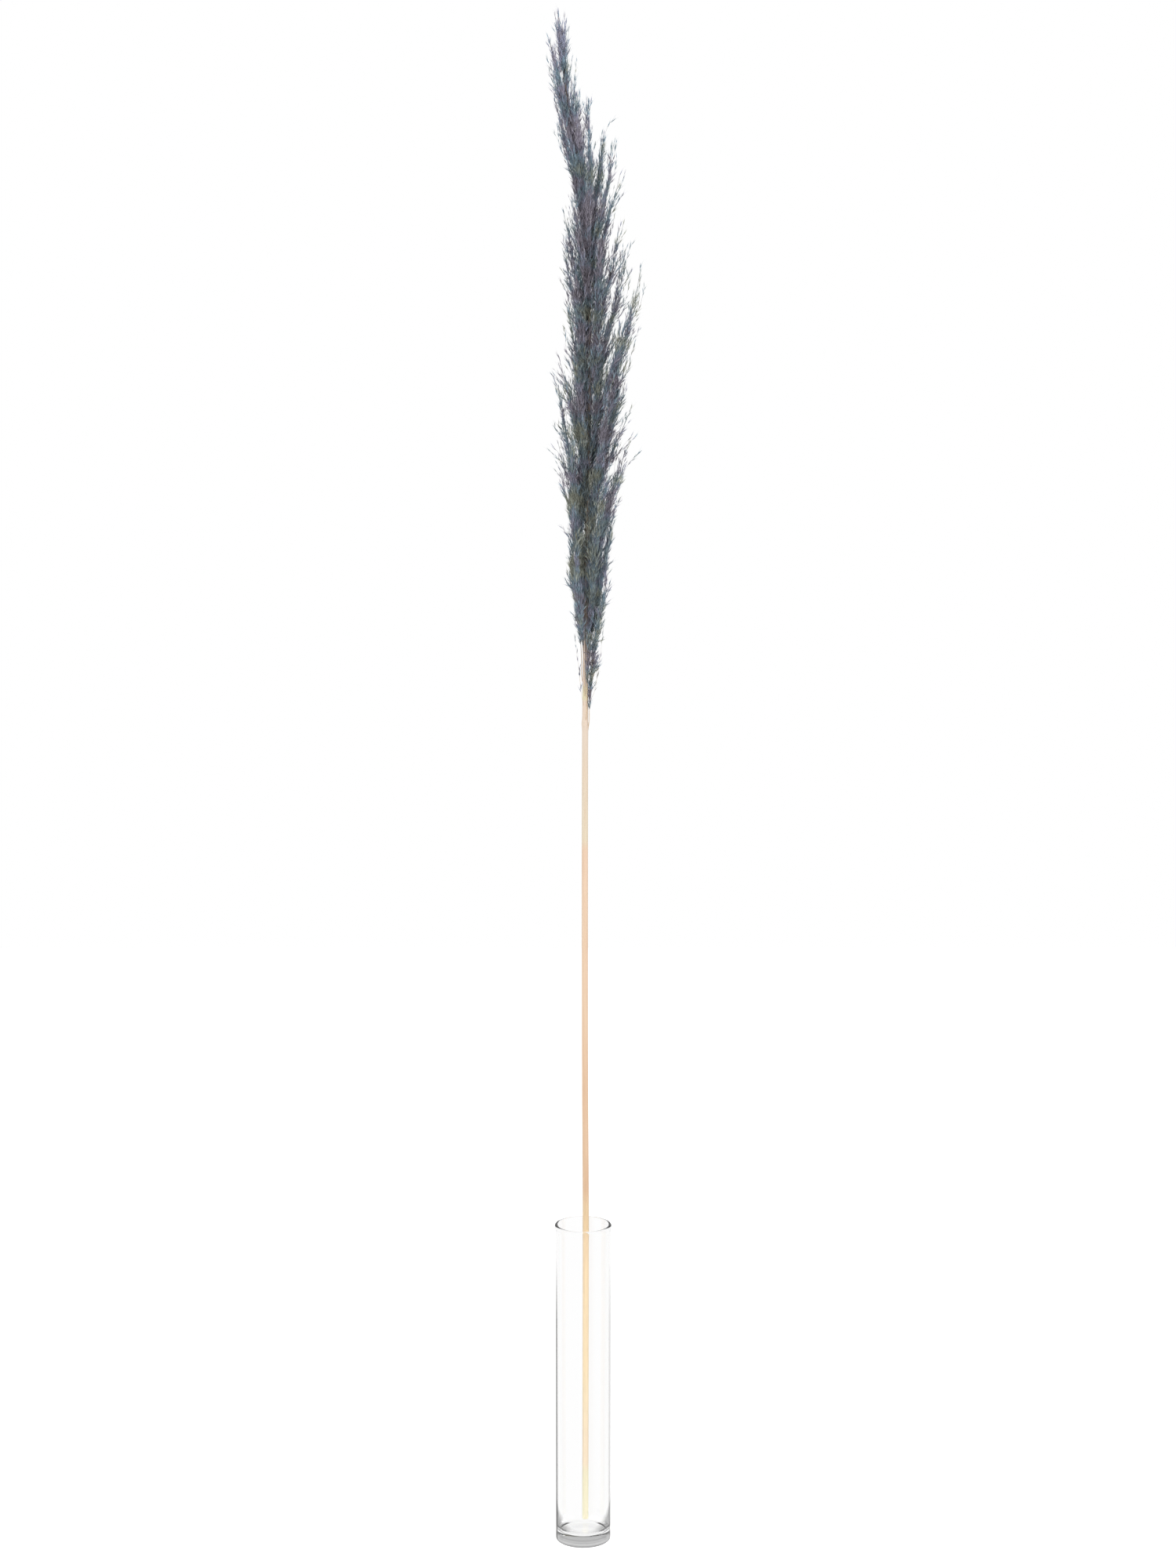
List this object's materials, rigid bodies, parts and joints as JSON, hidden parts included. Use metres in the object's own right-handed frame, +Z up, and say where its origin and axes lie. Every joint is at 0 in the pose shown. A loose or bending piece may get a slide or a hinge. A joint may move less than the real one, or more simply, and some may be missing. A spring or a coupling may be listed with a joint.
{
  "type": "dried pampas grass in vase",
  "caption": "Tall clear glass cylinder vase holding a long dried pampas grass stem with a narrow slate-grey dyed plume.",
  "frame": {"origin": "centre of the vase's flat underside, on the surface it stands on", "axes": "+Z up along the vase and the stem, -Y to the front, +X to the right seen from the front"},
  "size_m": [0.1041, 0.108, 1.822],
  "materials": {
    "glass": "clear, smooth, fire-polished rim",
    "straw": "dry, satin, fine lengthwise grain",
    "plume": "matt, dyed slate blue-grey, with fine hairs"
  },
  "bodies": {
    "root": {"vase": "glass", "stem": "straw", "plume_branch_01": "plume", "plume_branch_02": "plume", "plume_branch_03": "plume", "plume_branch_04": "plume", "plume_branch_05": "plume", "plume_branch_06": "plume", "plume_branch_07": "plume", "plume_branch_08": "plume", "plume_branch_09": "plume", "plume_branch_10": "plume", "plume_branch_11": "plume", "plume_branch_12": "plume", "plume_branch_13": "plume", "plume_branch_14": "plume", "plume_branch_15": "plume", "plume_branch_16": "plume", "plume_branch_17": "plume", "plume_branch_18": "plume", "plume_branch_19": "plume", "plume_branch_20": "plume", "plume_branch_21": "plume", "plume_branch_22": "plume", "plume_branch_23": "plume", "plume_branch_24": "plume", "plume_branch_25": "plume", "plume_branch_26": "plume", "plume_branch_27": "plume", "plume_branch_28": "plume", "plume_branch_29": "plume", "plume_branch_30": "plume", "plume_branch_31": "plume", "plume_branch_32": "plume", "plume_branch_33": "plume", "plume_branch_34": "plume", "plume_branch_35": "plume", "plume_branch_36": "plume", "plume_branch_37": "plume", "plume_branch_38": "plume", "plume_branch_39": "plume", "plume_branch_40": "plume", "plume_branch_41": "plume", "plume_branch_42": "plume", "plume_branch_43": "plume", "plume_branch_44": "plume", "plume_branch_45": "plume", "plume_branch_46": "plume", "plume_branch_47": "plume", "plume_branch_48": "plume", "plume_branch_49": "plume", "plume_branch_50": "plume", "plume_branch_51": "plume", "plume_branch_52": "plume", "plume_branch_53": "plume", "plume_branch_54": "plume", "plume_branch_55": "plume", "plume_branch_56": "plume", "plume_branch_57": "plume", "plume_branch_58": "plume"}
  },
  "joints": []
}
